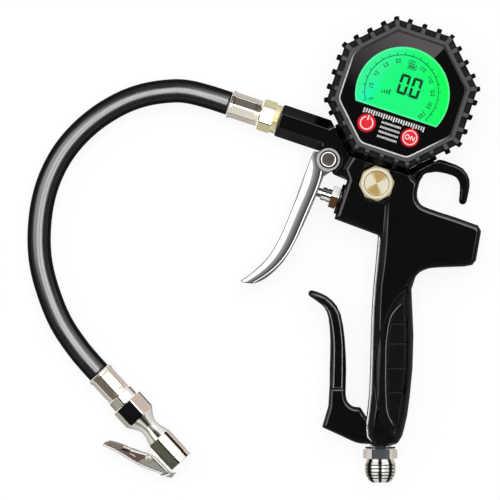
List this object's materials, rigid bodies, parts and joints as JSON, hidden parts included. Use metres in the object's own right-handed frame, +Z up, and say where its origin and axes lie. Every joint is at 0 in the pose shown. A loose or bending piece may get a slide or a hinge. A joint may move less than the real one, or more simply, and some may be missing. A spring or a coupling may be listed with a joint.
{
  "type": "tyre inflator with gauge",
  "caption": "Pistol-grip tyre inflator lying on its side: lever trigger, eight-sided digital gauge in a ribbed boot, short hose with a clip-on chuck, threaded air inlet.",
  "frame": {"origin": "under the middle of the gun and gauge, on the surface that it lies on", "axes": "+Z up out of the gauge's face, +Y from the air inlet at the handle's foot towards the gauge, -X towards the muzzle and hose"},
  "size_m": [0.2272, 0.2334, 0.0341],
  "materials": {
    "body_black": "satin",
    "grip_black": "satin",
    "nickel": "polished",
    "seal_rubber": "matte",
    "brass": "satin",
    "chrome": "polished",
    "steel": "satin",
    "boot_rubber": "matte",
    "case_black": "matte",
    "face_black": "gloss",
    "clear_window": "gloss",
    "display_green": "satin",
    "board_green": "matte",
    "button_red": "satin",
    "cell_jacket": "satin",
    "hose_rubber": "satin"
  },
  "bodies": {
    "gun": {"gun_body": "body_black", "grip_insert_front": "grip_black", "grip_insert_back": "grip_black", "inlet_nipple": "nickel", "inlet_washer": "seal_rubber", "passage_plug": "brass", "plug_washer": "seal_rubber", "trigger_pin": "nickel", "trigger_ring": "steel", "valve_gland_nut": "nickel", "stem_seal_ring": "seal_rubber", "valve_spring": "steel", "gauge_boot": "boot_rubber", "gauge_case": "case_black", "face_plate": "face_black", "display_window": "clear_window", "lcd_display": "display_green", "circuit_board": "board_green", "light_switch": "case_black", "on_switch": "case_black", "battery_1": "cell_jacket", "battery_2": "cell_jacket", "battery_cover": "case_black", "cover_screw_1": "steel", "cover_screw_2": "steel", "gauge_stem": "brass", "pressure_sensor": "steel", "hose_nut": "brass", "hose_insert_gun": "brass", "ferrule_gun": "nickel", "ferrule_chuck": "nickel", "hose_insert_chuck": "nickel", "chuck_body": "nickel", "chuck_seal": "seal_rubber", "chuck_pin": "brass", "clip_pin": "steel", "clip_spring": "steel", "hose": "hose_rubber"},
    "trigger": {"trigger": "chrome"},
    "valve_rod": {"valve_stem": "steel", "valve_poppet": "brass"},
    "light_push": {"light_button": "button_red"},
    "on_push": {"on_button": "button_red"},
    "clip": {"clip_lever": "chrome"}
  },
  "joints": [
    {"name": "trigger_pull", "type": "hinge", "parent": "gun", "child": "trigger", "pos_m": [-0.01613, 0.04519, 0.0125], "axis": [0, 0, 1], "range_deg": [0, 12], "stiffness_Nm_per_rad": 0.4, "springref_deg": -11.46},
    {"name": "valve_slide", "type": "slide", "parent": "gun", "child": "valve_rod", "axis": [0.9483, -0.3173, 0], "range_m": [0, 0.0038], "stiffness_N_per_m": 600, "springref_m": -0.004, "deforming": ["valve_spring"]},
    {"name": "light_press", "type": "slide", "parent": "gun", "child": "light_push", "axis": [0, 0, -1], "range_m": [0, 0.0008], "stiffness_N_per_m": 400, "springref_m": -0.0006},
    {"name": "on_press", "type": "slide", "parent": "gun", "child": "on_push", "axis": [0, 0, -1], "range_m": [0, 0.0008], "stiffness_N_per_m": 400, "springref_m": -0.0006},
    {"name": "clip_squeeze", "type": "hinge", "parent": "gun", "child": "clip", "pos_m": [-0.10602, -0.10444, 0.009], "axis": [0, 0, -1], "range_deg": [0, 18], "stiffness_Nm_per_rad": 0.15, "springref_deg": -17.19, "deforming": ["clip_spring"]}
  ],
  "couplings": [
    {"joint": "valve_slide", "follows": "trigger_pull", "m_per_rad": 0.0175}
  ]
}
